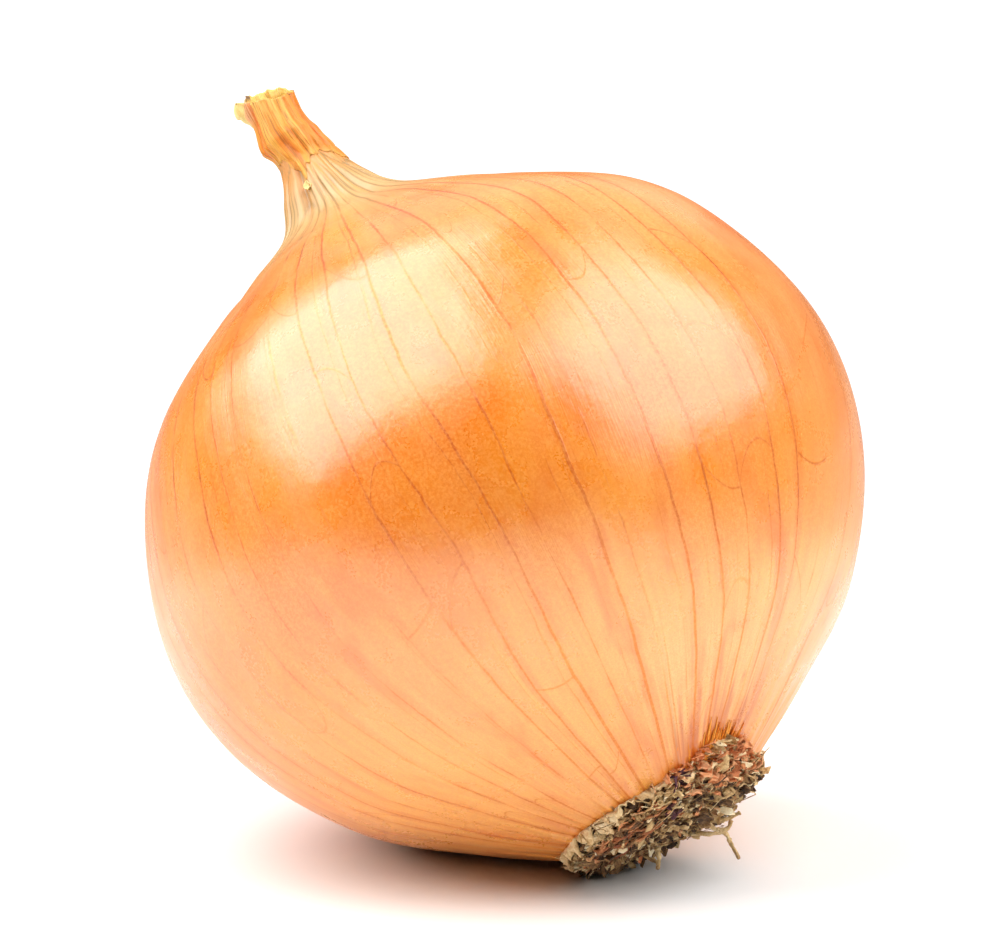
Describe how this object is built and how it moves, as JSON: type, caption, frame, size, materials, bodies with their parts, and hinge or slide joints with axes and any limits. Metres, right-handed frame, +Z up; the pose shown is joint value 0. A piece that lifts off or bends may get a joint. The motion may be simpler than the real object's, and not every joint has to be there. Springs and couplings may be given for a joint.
{
  "type": "onion",
  "caption": "Whole unpeeled yellow onion lying on its flank, with a torn dry neck and a root plate with loose root ends.",
  "frame": {"origin": "middle of the flat spot on the flank that the onion rests on", "axes": "+Z up from the surface it rests on; the neck leans 38.5 degrees from +Z, towards -X and +Y; the root plate faces +X and -Y, down and away from the neck"},
  "size_m": [0.0798, 0.0805, 0.0837],
  "materials": {
    "skin": "satin",
    "husk": "satin",
    "leaf": "satin",
    "root_mat": "matte",
    "root": "matte"
  },
  "bodies": {
    "root": {"bulb": "skin", "neck_husk": "husk", "neck_tip_curl": "leaf", "root_plate": "root_mat", "root_bent": "root", "root_upturned": "root", "root_forked": "root", "root_short": "root"}
  },
  "joints": []
}
